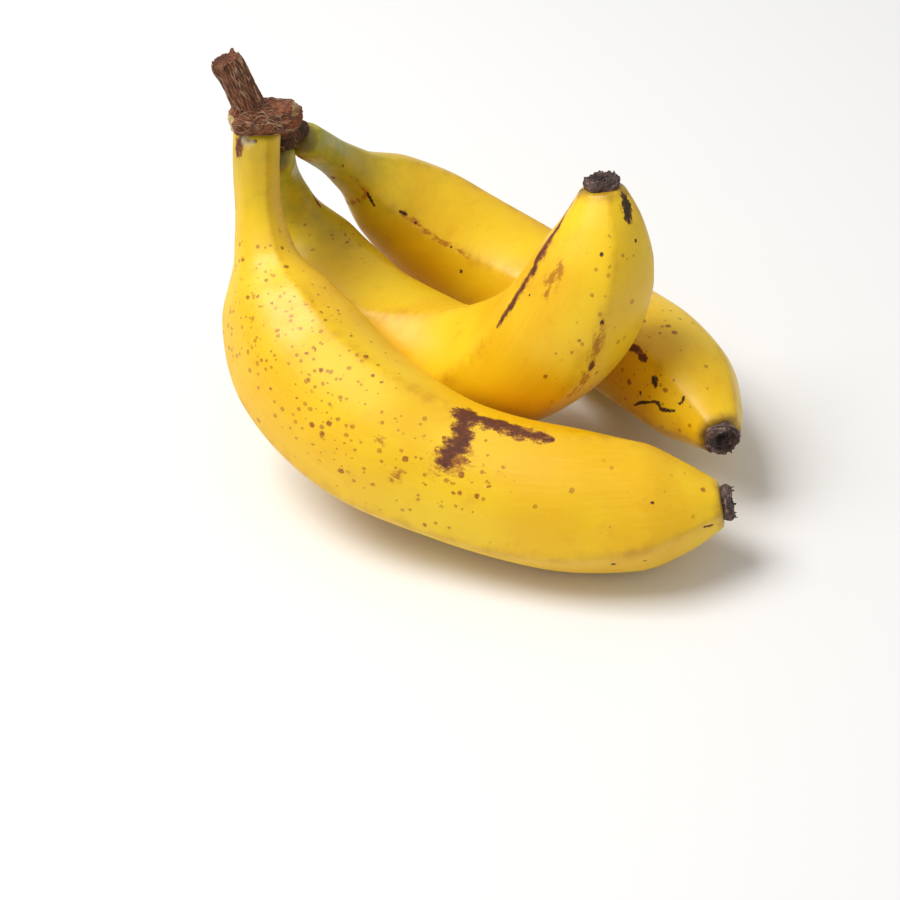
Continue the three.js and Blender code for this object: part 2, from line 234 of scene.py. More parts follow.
def frame_at(fruit, at):
    place, along, inside = fruit["centre"]
    s = np.clip(at, 0, 1) * CENTRE_STEPS
    i = np.minimum(s.astype(int), CENTRE_STEPS - 1)
    u = (s - i)[:, None]
    mix = [v[i] * (1 - u) + v[i + 1] * u for v in (place, along, inside)]
    mix[1] /= np.linalg.norm(mix[1], axis=1)[:, None]
    mix[2] -= mix[1] * (mix[2] * mix[1]).sum(1)[:, None]
    mix[2] /= np.linalg.norm(mix[2], axis=1)[:, None]
    return (*mix, np.cross(mix[1], mix[2]))


def wrapped(fruit, angle, at, radius):
    """Points round a fruit's centre, straight on past both of its ends."""
    place, along, inside, side = frame_at(fruit, at)
    beyond = (at - np.clip(at, 0, 1)) * fruit["length"]
    return (
        place + along * beyond[:, None]
        + inside * (radius * np.cos(angle))[:, None] + side * (radius * np.sin(angle))[:, None]
    )


def new_piece(name, mesh):
    piece = bpy.data.objects.new(name, mesh)
    bpy.context.scene.collection.objects.link(piece)
    return piece


def smooth_faces(mesh):
    mesh.polygons.foreach_set("use_smooth", [True] * len(mesh.polygons))


def linear(hex_colour):
    """An sRGB hex colour as the linear colour that a shader takes."""
    parts = [int(hex_colour[i:i + 2], 16) / 255 for i in (1, 3, 5)]
    return [c / 12.92 if c <= 0.04045 else ((c + 0.055) / 1.055) ** 2.4 for c in parts] + [1]


def add_node(tree, kind, settings=None, **inputs):
    """Adds a node. Settings are its properties; inputs are values or links, by socket name."""
    node = tree.nodes.new(kind)
    for name, value in (settings or {}).items():
        setattr(node, name, value)
    for name, value in inputs.items():
        key = int(name[1:]) if name[0] == "_" and name[1:].isdigit() else name.replace("_", " ")
        socket = node.inputs[key]
        if isinstance(value, bpy.types.NodeSocket):
            tree.links.new(value, socket)
        else:
            socket.default_value = value
    return node


def stored(mesh, name, values, kind="FLOAT"):
    attribute = mesh.attributes.new(name, kind, "POINT")
    field = "value" if kind == "FLOAT" else "vector"
    attribute.data.foreach_set(field, np.asarray(values, np.float32).ravel())


def distance_to_run(at, arc, run):
    """Distance in mm on the unrolled skin to a run of places, and how far along the run that is."""
    degrees, per_radian, length = arc
    best, share = np.full(len(at), 1e9), np.zeros(len(at))
    points = [np.array(p, float) for p in run]
    for k, (p, q) in enumerate(zip(points, points[1:])):
        scale = np.stack([np.full(len(at), length), per_radian], 1)
        way = (q - p) * scale
        off = np.stack([at - p[0], (degrees - p[1] + 180) % 360 - 180], 1) * scale
        u = np.clip((off * way).sum(1) / np.maximum((way * way).sum(1), 1e-9), 0, 1)
        away = np.linalg.norm(off - way * u[:, None], axis=1)
        share = np.where(away < best, (k + u) / (len(points) - 1), share)
        best = np.minimum(best, away)
    return best, share


def banana(name, fruit):
    fruit["centre"] = centre_of(fruit)
    length = fruit["length"]
    bm = bmesh.new()
    bmesh.ops.create_grid(bm, x_segments=AROUND, y_segments=ALONG, size=1)
    mesh = bpy.data.meshes.new(name)
    bm.verts.ensure_lookup_table()
    flat = np.array([v.co[:2] for v in bm.verts])
    turn = (flat[:, 0] + 1) / 2
    row = (flat[:, 1] + 1) / 2
    angle = 2 * math.pi * turn + math.radians(fruit["seam"])
    # The rounded end of the stalk, the skin, then the tip that rolls in over the blossom's seat.
    start, end = -fruit["root"] - fruit["hidden"], length - 0.1
    rounding = STALK_ROUNDING + 0.7 * fruit["hidden"]
    rows = np.round(row * ALONG).astype(int)
    share_steps = np.zeros(ALONG + 1)
    place_steps = np.zeros(ALONG + 1)
    for k in range(ALONG + 1):
        if k <= END_ROWS:
            q = k / END_ROWS * math.pi / 2
            place_steps[k] = start + rounding * (1 - math.cos(q))
            share_steps[k] = math.sin(q) ** 0.8
        elif k >= ALONG - END_ROWS:
            q = (ALONG - k) / END_ROWS * math.pi / 2
            place_steps[k] = end - TIP_ROLL * (1 - math.cos(q)) - 0.5 * (1 - math.sin(q))
            share_steps[k] = math.sin(q) ** 0.8
        else:
            body = start + rounding
            way = (k - END_ROWS) / (ALONG - 2 * END_ROWS)
            place_steps[k] = body + (end - TIP_ROLL - body) * way
            share_steps[k] = 1
    at = place_steps[rows] / length
    share = share_steps[rows]
    radius = girth(fruit, at) * section(fruit, angle)
    # Real skin isn't turned true: slow swellings of a few tenths of a millimetre.
    swell = np.array([
        noise.noise(Vector((math.cos(a) * 1.3, math.sin(a) * 1.3, t * 7 + len(name))))
        for a, t in zip(angle, at)
    ])
    skin = share * (radius + SWELLING * swell * np.minimum(1, share))
    points = wrapped(fruit, angle, at, skin)
    outer = at * length >= -fruit["root"]
    low, high = points[outer].min(0), points[outer].max(0)
    node_low, node_high = (np.array(c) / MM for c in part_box(name))
    fruit["shift"] = (node_low + node_high) / 2 - (low + high) / 2
    points += fruit["shift"]
    # The belly stands on the table, and no swelling stands out past the grown shape.
    points[:, 2] = np.maximum(points[:, 2], node_low[2] + 0.02)
    points[outer] = np.clip(points[outer], node_low, node_high)
    points *= MM
    for vertex, point in zip(bm.verts, points):
        vertex.co = point
    bm.to_mesh(mesh)
    bm.free()
    degrees = np.degrees(angle) % 360
    arc = (degrees, np.radians(np.maximum(radius, 1)), length)
    # Straightened place in mm, for patterns that follow the skin without a seam.
    straight = np.stack([radius * np.cos(angle), radius * np.sin(angle), at * length], 1)
    stored(mesh, "straight", straight, "FLOAT_VECTOR")
    near, far, most = fruit["green_and_neck_shade"]
    stored(mesh, "green_and_neck_shade", most * np.clip((far - at) / (far - near), 0, 1) ** 1.3)
    ridge = np.max([
        np.exp(-((((degrees - r + 180) % 360 - 180) / RIDGE_BREADTH) ** 2)) for r in fruit["ridges"]
    ], axis=0)
    stored(mesh, "ridge", ridge)
    stored(mesh, "end", np.clip((at - 0.955) / 0.045, 0, 1))
    stored(mesh, "root", np.clip(-at * length / 3.0, 0, 1) * (fruit["hidden"] > 0))
    for kind in ("bruise", "scab", "pale", "smudge"):
        field = np.zeros(len(at))
        for mark, half, run in fruit["marks"]:
            if mark == kind:
                away, share_along = distance_to_run(at, arc, run)
                taper = 0.7 + 0.3 * np.sin(math.pi * share_along)
                field = np.maximum(field, 1 - away / (2 * half * taper))
        stored(mesh, kind, field)
    speckled = np.zeros(len(at))
    for first, last, reach, most in fruit["freckles"]:
        away = distance_to_run(at, arc, [first, last])[0] / reach
        speckled = np.maximum(speckled, most * np.exp(-away ** 2))
    stored(mesh, "freckles", np.maximum(speckled, FEWEST_FRECKLES))
    # Close the seam and both ends.
    bm = bmesh.new()
    bm.from_mesh(mesh)
    bmesh.ops.remove_doubles(bm, verts=bm.verts, dist=2e-6)
    bmesh.ops.recalc_face_normals(bm, faces=bm.faces)
    bm.to_mesh(mesh)
    bm.free()
    smooth_faces(mesh)
    return new_piece(name + "_peel", mesh)


def peel_material():
    """Ripe banana peel: a waxy skin over long fibres, so a soft broad sheen, a little light
    that passes under the surface, and fine lengthwise streaks."""
    material = bpy.data.materials.new("ripe banana peel, waxy")
    material.use_nodes = True
    tree = material.node_tree
    skin = tree.nodes["Principled BSDF"]

    def at(name, output="Fac"):
        return add_node(tree, "ShaderNodeAttribute", {"attribute_name": name}).outputs[output]

    def noise_at(place, size_mm, detail=3.0, roughness=0.5, stretch=(1, 1, 1)):
        scaled = add_node(tree, "ShaderNodeMapping", Vector=place, Scale=[s / size_mm for s in stretch])
        node = add_node(tree, "ShaderNodeTexNoise", Vector=scaled.outputs[0], Scale=1.0,
                        Detail=detail, Roughness=roughness)
        return node.outputs["Fac"]

    def ranged(value, low, high, to_low=0.0, to_high=1.0):
        return add_node(tree, "ShaderNodeMapRange", {"interpolation_type": "SMOOTHSTEP"}, Value=value,
                        From_Min=low, From_Max=high, To_Min=to_low, To_Max=to_high).outputs[0]

    def combined(operation, a, b):
        return add_node(tree, "ShaderNodeMath", {"operation": operation}, _0=a, _1=b).outputs[0]

    def mixed(factor, below, above):
        node = add_node(tree, "ShaderNodeMix", {"data_type": "RGBA"}, _0=factor, _6=below, _7=above)
        return node.outputs[2]

    straight = at("straight", "Vector")
    blotches = noise_at(straight, 34, 2)
    streaks = noise_at(straight, 1.1, 3, 0.6, (1, 1, 0.045))
    mottle = noise_at(straight, 5, 4, 0.6)
    fine = noise_at(straight, 0.9, 3, 0.6)

    colour = mixed(ranged(blotches, 0.35, 0.65), linear("#EDB902"), linear("#F4CB10"))
    colour = mixed(ranged(streaks, 0.45, 0.75, 0, 0.3), colour, linear("#F8CE34"))
    colour = mixed(ranged(mottle, 0.5, 0.8, 0, 0.35), colour, linear("#DFA203"))
    ridge = at("ridge")
    rubbed = combined("MULTIPLY", ridge, ranged(mottle, 0.35, 0.7, 0.05, 0.4))
    colour = mixed(rubbed, colour, linear("#B97F06"))
    # Chlorophyll left in the stalk and shoulder. At full strength, on the middle and back fruits, it
    # also paints the shade on their necks.
    green_and_neck_shade = at("green_and_neck_shade")
    green_and_shade_edge = combined("MULTIPLY", green_and_neck_shade, ranged(mottle, 0.2, 0.8, 0.7, 1.2))
    colour = mixed(green_and_shade_edge, colour, linear("#9A9A22"))
    # The stalk's skin dries brown where it meets the crown.
    root_dry = ranged(combined("ADD", at("root"), combined("MULTIPLY", fine, 0.7)), 0.65, 1.35, 0, 0.8)
    colour = mixed(root_dry, colour, linear("#6E5A28"))
    # The last millimetres before the blossom end are drier, and browner.
    tip_dry = ranged(combined("ADD", at("end"), combined("MULTIPLY", mottle, 0.5)), 0.85, 1.35)
    colour = mixed(tip_dry, colour, linear("#8A6420"))

    # Sugar freckles up to 1.5 mm across, in two sizes, thick where the fruit ripened first.
    density = at("freckles")
    dots = []
    for size, spread, tint in ((1.2, 0.44, 0.6), (2.2, 0.32, 0.9)):
        scaled = add_node(tree, "ShaderNodeMapping", Vector=straight, Scale=[1 / size] * 3)
        wobble = add_node(tree, "ShaderNodeTexNoise", Vector=straight, Scale=1.6, Detail=3.0)
        bent = add_node(tree, "ShaderNodeMix", {"data_type": "VECTOR"}, _0=0.3,
                        _4=scaled.outputs[0], _5=wobble.outputs["Color"])
        cells = add_node(tree, "ShaderNodeTexVoronoi", Vector=bent.outputs[1], Scale=1.0)
        parts = add_node(tree, "ShaderNodeSeparateColor", Color=cells.outputs["Color"])
        size_here = combined("MULTIPLY", parts.outputs[0], spread)
        dot = ranged(combined("SUBTRACT", size_here, cells.outputs["Distance"]), -0.03, 0.07)
        kept = ranged(combined("SUBTRACT", density, parts.outputs[1]), -0.02, 0.06)
        dots.append(combined("MULTIPLY", combined("MULTIPLY", dot, kept), tint))
    browned = mixed(ranged(fine, 0.4, 0.6), linear("#8A4600"), linear("#B46C00"))
    colour = mixed(combined("MAXIMUM", *dots), colour, browned)

    # Damaged skin has ragged edges, so each field is roughened before it is cut off.
    ragged = ranged(noise_at(straight, 2.0, 5, 0.72, (1, 1, 0.6)), 0.3, 0.7, 0, 0.55)
    broken = ranged(noise_at(straight, 0.9, 4, 0.7, (1, 1, 0.5)), 0.3, 0.7)
    flecked = combined("MULTIPLY", ranged(noise_at(straight, 1.6, 5, 0.8, (1, 1, 0.4)), 0.4, 0.6), 0.8)
    smudge = ranged(combined("ADD", at("smudge"), flecked), 0.85, 1.5, 0, 0.75)
    colour = mixed(smudge, colour, linear("#A85A08"))
    bruised = combined("ADD", at("bruise"), ragged)
    bruise = ranged(bruised, 0.66, 0.86, 0, 0.9)
    colour = mixed(bruise, colour, linear("#95581A"))
    bruise_core = mixed(broken, linear("#70340F"), linear("#451F18"))
    colour = mixed(ranged(bruised, 0.8, 1.05, 0, 0.95), colour, bruise_core)
    scabbed = combined("ADD", at("scab"), combined("MULTIPLY", broken, 0.45))
    scab = ranged(scabbed, 0.66, 0.8, 0, 0.97)
    scab_core = mixed(ranged(scabbed, 0.8, 1.05), linear("#5A3014"), linear("#1E1213"))
    colour = mixed(scab, colour, scab_core)
    pale = ranged(combined("ADD", at("pale"), ragged), 0.6, 1.3, 0, 0.75)
    colour = mixed(pale, colour, linear("#DDCFA4"))
    tree.links.new(colour, skin.inputs["Base Color"])

    worn = combined("MAXIMUM", combined("MAXIMUM", bruise, scab), smudge)
    gloss = ranged(mottle, 0.2, 0.8, 0.36, 0.48)
    rough = add_node(tree, "ShaderNodeMix", {"data_type": "FLOAT"}, _0=worn, _2=gloss, _3=0.68)
    tree.links.new(rough.outputs[0], skin.inputs["Roughness"])
    relief = combined("ADD", combined("MULTIPLY", streaks, 0.35), combined("MULTIPLY", fine, 0.25))
    relief = combined("SUBTRACT", relief, combined("MULTIPLY", worn, 0.8))
    bump = add_node(tree, "ShaderNodeBump", Height=relief, Strength=0.35, Distance=0.3 * MM)
    tree.links.new(bump.outputs[0], skin.inputs["Normal"])
    skin.inputs["IOR"].default_value = 1.44
    tree.links.new(ranged(worn, 0, 1, 0.22, 0), skin.inputs["Coat Weight"])
    skin.inputs["Coat Roughness"].default_value = 0.5
    skin.inputs["Subsurface Weight"].default_value = 0.12
    skin.inputs["Subsurface Radius"].default_value = (1.0, 0.55, 0.12)
    skin.inputs["Subsurface Scale"].default_value = 3 * MM
    return material


peel = peel_material()
for name, fruit in FRUITS.items():
    skin = banana("banana_" + name, fruit)
    skin.data.materials.append(peel)
    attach(skin, "root")
    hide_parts("banana_" + name)

# ---------- blossom ends ----------
# What dried on from the flower: a black, corky cap with rings round a hollow, and the torn
# stubs of petals curled round its edge. It grew on the tip and never comes off whole.
CAP_SIDES = 96
CAP_INSET = 0.5
CAP_VOXEL = 0.16
PETALS = {"middle": 10, "front": 7, "back": 8}


def blossom_end(name, fruit, seed):
    rng = np.random.default_rng(seed)
    rim = fruit["tip"] - CAP_INSET
    bm = bmesh.new()
    profile = [
        (0.0, -1.1), (rim * 0.9, -1.1), (rim * 0.98, 0.0), (rim * 1.0, 0.7), (rim * 0.97, 1.4),
        (rim * 0.86, 2.1),
        (rim * 0.74, 2.2), (rim * 0.66, 1.6), (rim * 0.58, 1.7), (rim * 0.50, 1.1),
        (rim * 0.42, 1.2), (rim * 0.34, 0.6), (rim * 0.24, 0.5), (rim * 0.16, 1.9),
        (rim * 0.06, 2.3), (0.0, 2.3),
    ]
    verts = [bm.verts.new((r, 0, h)) for r, h in profile]
    edges = [bm.edges.new(pair) for pair in zip(verts, verts[1:])]
    bmesh.ops.subdivide_edges(bm, edges=edges, cuts=3)
    bmesh.ops.spin(bm, geom=bm.verts[:] + bm.edges[:], cent=(0, 0, 0), axis=(0, 0, 1),
                   angle=2 * math.pi, steps=CAP_SIDES, use_merge=True)
    bmesh.ops.remove_doubles(bm, verts=bm.verts, dist=0.002)
    lobes = rng.uniform(0, 6.28)
    for v in bm.verts:
        angle = math.atan2(v.co.y, v.co.x)
        reach = v.co.xy.length / rim
        ribs = noise.noise(Vector((math.cos(angle) * 5, math.sin(angle) * 5, v.co.z * 0.6 + seed)))
        crumb = noise.noise(v.co * 2.1 + Vector((seed, 0, 0)))
        swell = 1 + reach * (0.05 * math.cos(5 * angle + lobes) - 0.04 + 0.07 * ribs + 0.03 * crumb)
        v.co.x *= swell
        v.co.y *= swell
        v.co.z += (0.5 * ribs + 0.25 * crumb) * (0.25 + reach) * max(0, min(1, v.co.z / 0.8))
    # Petal stubs: thin, bent, pointed.
    for i in range(PETALS[name]):
        angle = 2 * math.pi * (i + rng.uniform(-0.3, 0.3)) / PETALS[name]
        tall = rng.uniform(0.9, 1.9)
        made = bmesh.ops.create_cone(bm, segments=10, radius1=rng.uniform(0.45, 0.8), radius2=0.12,
                                     depth=tall, cap_ends=True)
        lean = Matrix.Rotation(rng.uniform(-0.5, 0.6), 4, "Y")
        foot = (rim * rng.uniform(0.72, 0.86), 0, 1.7 + tall / 2 - 0.4)
        put = (Matrix.Rotation(angle, 4, "Z") @ Matrix.Translation(foot) @ lean
               @ Matrix.Diagonal((0.7, 1.3, 1, 1)))
        bmesh.ops.transform(bm, matrix=put, verts=made["verts"])
    # Onto the tip: the cap's axis is the fruit's, straight on from its end.
    place, along, inside, side = (v[0] for v in frame_at(fruit, np.array([1.0])))
    seat = place + fruit["shift"] + along * 0.1
    onto = Matrix((
        (inside[0], side[0], along[0], seat[0]), (inside[1], side[1], along[1], seat[1]),
        (inside[2], side[2], along[2], seat[2]), (0, 0, 0, 1),
    ))
    bmesh.ops.transform(bm, matrix=Matrix.Scale(MM, 4) @ onto, verts=bm.verts)
    bmesh.ops.recalc_face_normals(bm, faces=bm.faces)
    mesh = bpy.data.meshes.new("blossom_end_" + name)
    bm.to_mesh(mesh)
    bm.free()
    return new_piece("blossom_cap_" + name, mesh)


def made_whole(piece, voxel_mm):
    """Joins a piece's overlapping lumps into one closed skin."""
    whole = piece.modifiers.new("whole", "REMESH")
    whole.mode = "VOXEL"
    whole.voxel_size = voxel_mm * MM
    shape = piece.evaluated_get(bpy.context.evaluated_depsgraph_get())
    mesh = bpy.data.meshes.new_from_object(shape)
    piece.modifiers.clear()
    piece.data = mesh
    smooth_faces(mesh)


def dried_fibre_material(label, dark, mid, light, tint, grain_mm, relief_mm):
    """Dried plant fibre: dead matt, dark in the pores, with paler strands standing up.
    Its grain place is stretched along the fibres. Its darkening field holds darker tone in random
    patches and towards the stump's cut top, a darker middle on the blossom caps, and painted shade
    on the lower part of the crown's cushion."""
    material = bpy.data.materials.new(label)
    material.use_nodes = True
    tree = material.node_tree
    body = tree.nodes["Principled BSDF"]
    along = add_node(tree, "ShaderNodeAttribute", {"attribute_name": "grain"}).outputs["Vector"]
    tone_and_shade = add_node(tree, "ShaderNodeAttribute", {"attribute_name": "tone_and_shade"}).outputs["Fac"]
    cream = add_node(tree, "ShaderNodeAttribute", {"attribute_name": "cream"}).outputs["Fac"]
    place = add_node(tree, "ShaderNodeTexCoord").outputs["Object"]
    patches = add_node(tree, "ShaderNodeTexNoise", Vector=place, Scale=1 / (3.4 * MM),
                       Detail=3.0, Roughness=0.6)
    strands = add_node(tree, "ShaderNodeTexNoise", Vector=along, Scale=1 / grain_mm,
                       Detail=5.0, Roughness=0.62, Distortion=0.35)
    ramp = add_node(tree, "ShaderNodeValToRGB", Fac=strands.outputs["Fac"])
    ramp.color_ramp.elements[0].position = 0.36
    ramp.color_ramp.elements[0].color = linear(dark)
    ramp.color_ramp.elements[1].position = 0.70
    ramp.color_ramp.elements[1].color = linear(light)
    ramp.color_ramp.elements.new(0.52).color = linear(mid)
    worn = add_node(tree, "ShaderNodeMapRange", Value=patches.outputs["Fac"], From_Min=0.4,
                    From_Max=0.7, To_Min=0.0, To_Max=0.55)
    tinted = add_node(tree, "ShaderNodeMix", {"data_type": "RGBA"}, _0=worn.outputs[0],
                      _6=ramp.outputs[0], _7=linear(tint))
    darker = add_node(tree, "ShaderNodeMix", {"data_type": "RGBA"}, _0=tone_and_shade,
                      _6=tinted.outputs[2], _7=linear(dark))
    creamy = add_node(tree, "ShaderNodeMix", {"data_type": "RGBA"}, _0=cream,
                      _6=darker.outputs[2], _7=linear("#C9B27C"))
    tree.links.new(creamy.outputs[2], body.inputs["Base Color"])
    bump = add_node(tree, "ShaderNodeBump", Height=strands.outputs["Fac"], Strength=0.9,
                    Distance=relief_mm * MM)
    tree.links.new(bump.outputs[0], body.inputs["Normal"])
    body.inputs["Roughness"].default_value = 0.8
    return material


corky = dried_fibre_material(
    "dried blossom, corky", "#1A1311", "#4A3833", "#A88A7E", "#6A5048", grain_mm=0.9, relief_mm=0.3)
for seed, (name, fruit) in enumerate(FRUITS.items(), 3):
    cap = blossom_end(name, fruit, seed)
    made_whole(cap, CAP_VOXEL)
    # Grain runs round the cap in rings, and the cap is darker towards its middle, over the hollow.
    place, along, inside, side = (v[0] for v in frame_at(fruit, np.array([1.0])))
    low, high = (np.array(corner) for corner in cad_box)
    for v in cap.data.vertices:
        v.co = np.clip(v.co, low, high)
    off = np.array([v.co[:] for v in cap.data.vertices]) / MM - (place + fruit["shift"])
    reach = np.hypot(off @ inside, off @ side)
    turn = np.arctan2(off @ side, off @ inside)
    rings = np.stack([reach * 1.5, np.cos(turn) * 1.2, np.sin(turn) * 1.2 + off @ along], 1)
    stored(cap.data, "grain", rings, "FLOAT_VECTOR")
    stored(cap.data, "tone_and_shade", np.clip(1.1 - reach / fruit["tip"] * 1.9, 0, 0.85))
    stored(cap.data, "cream", np.zeros(len(reach)))
    cap.data.materials.append(corky)
    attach(cap, "root")
    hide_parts("blossom_end_" + name)

# ---------- the crown ----------
# The woody cushion where the stalks meet, with the cut stump of the main stem standing out of
# it. It dried hard and brown, pulled into lengthwise wrinkles, and its torn fibres show paler.
# Places are in mm from the start of the front stalk, and the knuckle's from the back one's.
CUSHION_AT = Vector((2.8, 0, 9))
HEEL_AT = Vector((6.8, 8, -1))
KNUCKLE_AT = Vector((-2, -1, 4))
STUMP_AT = Vector((1, 0, 7.8))
STUMP_LENGTH = 20.6
STUMP_RADIUS = 4.5
STUMP_TOP_RADIUS = 4.15
CROWN_VOXEL = 0.28


def lump_into(bm, size, place, turn=None):
    made = bmesh.ops.create_icosphere(bm, subdivisions=4, radius=0.5)
    put = Matrix.Translation(place) @ (turn or Matrix()) @ Matrix.Diagonal((*size, 1))
    bmesh.ops.transform(bm, matrix=put, verts=made["verts"])


def stalk_end(name):
    place = frame_at(FRUITS[name], np.array([0.0]))[0][0]
    return Vector(place + FRUITS[name]["shift"])


front_end, back_end = stalk_end("front"), stalk_end("back")
bm = bmesh.new()
# Cushion, squared off by seven overlapping lumps along it.
for x, size in ((-5.6, 8.6), (-3.4, 9.2), (-0.8, 9.4), (2.0, 9.2), (4.6, 8.8), (6.6, 8.2)):
    lump_into(bm, (8.4, size * 1.22, size * 0.98), front_end + CUSHION_AT + Vector((x, 0, 0)))
lump_into(bm, (5, 11.0, 8.6), front_end + Vector((-4.0, 0, 8.8)))
# Heel, down to the middle and back stalks.
heel, knuckle = front_end + HEEL_AT, back_end + KNUCKLE_AT
lump_into(bm, (10.6, 11.6, 12.4), heel)
lump_into(bm, (9, 9, 11), front_end + Vector((7.6, 5.2, 4)))
lump_into(bm, (6.6, 6.6, 6.6), knuckle)
lump_into(bm, (8, 8, 8), (heel + knuckle) / 2)
# Torn flap at the cushion's right end.
lump_into(bm, (6.4, 6.5, 2.6), front_end + Vector((9.6, -0.6, 12.2)), Matrix.Rotation(0.12, 4, "Y"))
# Stump of the main stem.
foot = front_end + STUMP_AT
lean = Vector((-8.5, 2, 22.6)).normalized()
upright = lean.to_track_quat("Z", "Y").to_matrix().to_4x4()
made = bmesh.ops.create_cone(bm, segments=72, radius1=STUMP_RADIUS, radius2=STUMP_TOP_RADIUS,
                             depth=STUMP_LENGTH, cap_ends=True)
stand = Matrix.Translation(foot) @ upright @ Matrix.Translation((0, 0, STUMP_LENGTH / 2))
bmesh.ops.transform(bm, matrix=stand, verts=made["verts"])
bmesh.ops.transform(bm, matrix=Matrix.Scale(MM, 4), verts=bm.verts)
mesh = bpy.data.meshes.new("crown")
bm.to_mesh(mesh)
bm.free()
crown = new_piece("crown_wood", mesh)
made_whole(crown, CROWN_VOXEL)

bm = bmesh.new()
bm.from_mesh(crown.data)
bmesh.ops.smooth_vert(bm, verts=bm.verts, factor=0.5,
                      use_axis_x=True, use_axis_y=True, use_axis_z=True)
bm.normal_update()
across = lean.cross(Vector((0, 1, 0))).normalized()
moves, grains, tones_and_shades, creams = [], [], [], []
for v in bm.verts:
    place = v.co / MM
    rise = (place - foot).dot(lean)
    off_stem = ((place - foot) - lean * rise).length
    if rise > 5.5 and off_stem < 6.5:
        # Wrinkles run along the stem.
        side = (place - foot) - lean * rise
        angle = math.atan2(side.dot(across), side.dot(lean.cross(across)))
        grain = Vector((math.cos(angle) * 3.0, math.sin(angle) * 3.0, rise * 0.09))
        fine = Vector((math.cos(angle) * 7, math.sin(angle) * 7, rise * 0.2))
        move = 1.1 * noise.noise(grain) + 0.5 * noise.noise(fine) - 0.3
        # The cut top is ragged.
        if rise > 18.5:
            move += 0.6 * noise.noise(place * 0.9)
        tone_and_shade = 0.4 * max(0, noise.noise(place * 0.25) + 0.1) + 0.15 * min(1, max(0, rise - 12) / 8)
        cream = 0
    else:
        # The cushion's fibres run round it, from left to right over its top.
        here = place - front_end
        grain = Vector((here.x * 0.22, here.y * 0.75, here.z * 0.75))
        fine = Vector((here.x * 0.5, here.y * 1.7, here.z * 1.7))
        move = 0.55 * noise.noise(grain) + 0.4 * noise.noise(fine) - 0.1
        # Darker towards the cushion's lower part: painted shade where it sits down among the stalks.
        # The random darker patches are its own tone.
        tone_and_shade = min(0.8, max(0, (4.5 - here.z) / 6)) + 0.25 * max(0, noise.noise(place * 0.3))
        # Pale scar on its left end, where a hand was cut away.
        cream = 0.9 if here.x < -5.2 and 6.6 < here.z < 11.6 and -4 < here.y < 1.5 else 0
        if here.x > 11 and here.z > 11:
            cream = 0.3
    moves.append(v.normal * move * MM)
    grains.append(fine * 1.6)
    tones_and_shades.append(tone_and_shade)
    creams.append(cream)
for v, move in zip(bm.verts, moves):
    v.co += move
bm.to_mesh(crown.data)
bm.free()
smooth_faces(crown.data)
stored(crown.data, "grain", grains, "FLOAT_VECTOR")
stored(crown.data, "tone_and_shade", tones_and_shades)
stored(crown.data, "cream", creams)
woody = dried_fibre_material(
    "dried crown, woody fibre", "#2A1A14", "#7C4728", "#B88154", "#924F34", grain_mm=1.0, relief_mm=0.4)
crown.data.materials.append(woody)
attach(crown, "root")
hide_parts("crown")

# Torn strands lie on the crown, each one a bundle of fibres 0.1 to 0.3 mm thick.
rng = np.random.default_rng(11)
surface = BVHTree.FromObject(crown, bpy.context.evaluated_depsgraph_get())
threads = bpy.data.curves.new("crown_strands", "CURVE")
threads.dimensions = "3D"
threads.bevel_depth = 0.12 * MM
threads.bevel_resolution = 1
threads.resolution_u = 3
threads.use_fill_caps = True


def strand(points, thick):
    """One thread through points in mm, pulled down onto the crown."""
    line = threads.splines.new("NURBS")
    line.points.add(len(points) - 1)
    line.use_endpoint_u = True
    line.order_u = 3
    for i, point in enumerate(points):
        spot, normal = surface.find_nearest(Vector(point) * MM)[:2]
        lift = (0.08 + 0.22 * rng.random()) * MM
        line.points[i].co = (*(spot + normal * lift), 1)
        line.points[i].radius = thick * math.sin(math.pi * (i + 0.6) / len(points)) ** 0.5


# Up the stump, round the cushion, and down the heel.
for _ in range(110):
    angle, rise, run = rng.uniform(0, 2 * math.pi), rng.uniform(4.5, 17), rng.uniform(3, 9)
    bend = rng.uniform(-0.35, 0.35)
    points = []
    for u in np.linspace(0, 1, 6):
        a = angle + bend * u + 0.06 * math.sin(6 * u + angle)
        out = across * math.cos(a) + lean.cross(across) * math.sin(a)
        points.append(foot + lean * min(rise + run * u, 20.5) + out * 4.4)
    strand(points, rng.uniform(0.6, 1.3))
for _ in range(130):
    angle, left, run = rng.uniform(0, 2 * math.pi), rng.uniform(-7.5, 9), rng.uniform(2, 6)
    bend = rng.uniform(-1.0, 1.0)
    points = []
    for u in np.linspace(0, 1, 6):
        a = angle + 0.6 * bend * u + 0.14 * math.sin(5 * u + angle)
        off = Vector((left - run / 2 + run * u, 6 * math.cos(a), 4.8 * math.sin(a)))
        points.append(front_end + CUSHION_AT + off)
    strand(points, rng.uniform(0.5, 1.2))
for _ in range(45):
    begin = front_end + Vector((rng.uniform(2, 11), rng.uniform(0, 12), rng.uniform(-5, 6)))
    points = []
    for k in range(5):
        step = Vector((rng.uniform(-0.5, 0.5) + 0.5 * k, rng.uniform(-0.4, 0.4) + 0.4 * k, -0.9 * k))
        points.append(begin + step)
    strand(points, rng.uniform(0.5, 1.0))
strands = new_piece("crown_strands", threads)
mesh = bpy.data.meshes.new_from_object(strands.evaluated_get(bpy.context.evaluated_depsgraph_get()))
bpy.data.objects.remove(strands)
strands = new_piece("crown_strands", mesh)
smooth_faces(mesh)
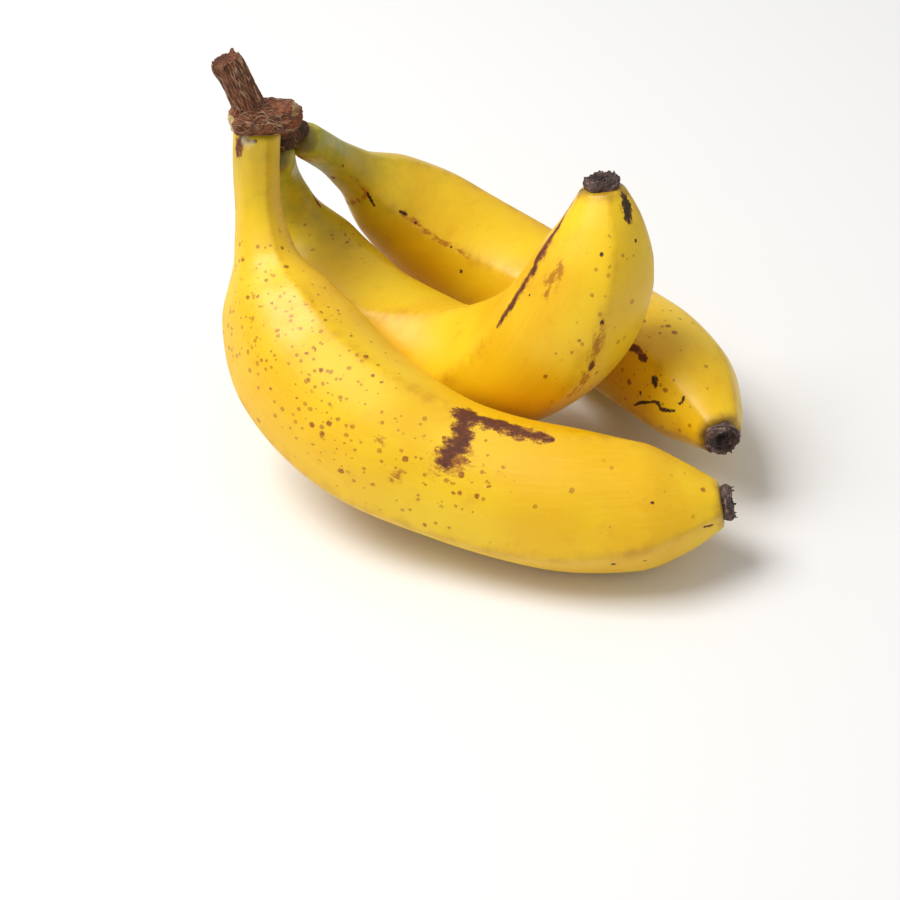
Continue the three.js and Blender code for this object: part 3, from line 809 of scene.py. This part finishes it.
# Strands bleach unevenly, over stretches of about 2 mm.
tan = bpy.data.materials.new("bleached plant strands")
tan.use_nodes = True
tree = tan.node_tree
place = add_node(tree, "ShaderNodeTexCoord").outputs["Object"]
patchy = add_node(tree, "ShaderNodeTexNoise", Vector=place,
                  Scale=1 / (1.8 * MM), Detail=2.0)
pick = add_node(tree, "ShaderNodeValToRGB", Fac=patchy.outputs["Fac"])
pick.color_ramp.elements[0].position = 0.35
pick.color_ramp.elements[0].color = linear("#5F3D2E")
pick.color_ramp.elements[1].position = 0.7
pick.color_ramp.elements[1].color = linear("#C29C7C")
tree.links.new(pick.outputs[0], tree.nodes["Principled BSDF"].inputs["Base Color"])
tree.nodes["Principled BSDF"].inputs["Roughness"].default_value = 0.75
mesh.materials.append(tan)
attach(strands, "root")

# ---------- the table and the studio ----------
# A matt white table top, a white room behind it, and one large soft lamp high on the left.
bm = bmesh.new()
bmesh.ops.create_grid(bm, x_segments=1, y_segments=1, size=3)
mesh = bpy.data.meshes.new("table")
bm.to_mesh(mesh)
bm.free()
table = new_piece("table", mesh)
table.location.z = cad_box[0][2] - 0.0001
white = bpy.data.materials.new("matt white table top")
white.use_nodes = True
white.node_tree.nodes["Principled BSDF"].inputs["Base Color"].default_value = (0.86, 0.86, 0.86, 1)
white.node_tree.nodes["Principled BSDF"].inputs["Roughness"].default_value = 0.7
table.data.materials.append(white)

world = bpy.data.worlds.new("white room")
bpy.context.scene.world = world
world.use_nodes = True
world.node_tree.nodes["Background"].inputs["Color"].default_value = (1, 1, 1, 1)
world.node_tree.nodes["Background"].inputs["Strength"].default_value = 0.46


def lamp(name, place, target, size, power, colour):
    light = bpy.data.lights.new(name, "AREA")
    light.size = size
    light.energy = power
    light.color = colour
    holder = bpy.data.objects.new(name, light)
    bpy.context.scene.collection.objects.link(holder)
    holder.location = place
    holder.rotation_euler = (Vector(target) - Vector(place)).to_track_quat("-Z", "Y").to_euler()


lamp("key lamp", (-0.5, -0.02, 1.0), (0, 0, 0.04), 0.6, 11.4, (1, 0.985, 0.96))
# Colours are shown as they are, the way a studio shot on white is developed.
bpy.context.scene.view_settings.view_transform = "Standard"

EYE = Vector((-9.93, -491.06, 434.33)) * MM
TILT, ROLL = math.radians(42.07), math.radians(-2.317)
back_way = Vector((0, -math.cos(TILT), math.sin(TILT)))
flat_right, flat_up = Vector((1, 0, 0)), Vector((0, math.sin(TILT), math.cos(TILT)))
right = flat_right * math.cos(ROLL) + flat_up * math.sin(ROLL)
up = flat_up * math.cos(ROLL) - flat_right * math.sin(ROLL)
camera = bpy.data.cameras.new("camera")
camera.lens = 88
camera.sensor_width = 36
camera.clip_start = 0.01
viewer = bpy.data.objects.new("camera", camera)
bpy.context.scene.collection.objects.link(viewer)
viewer.matrix_world = Matrix.Translation(EYE) @ Matrix((right, up, back_way)).transposed().to_4x4()
bpy.context.scene.camera = viewer
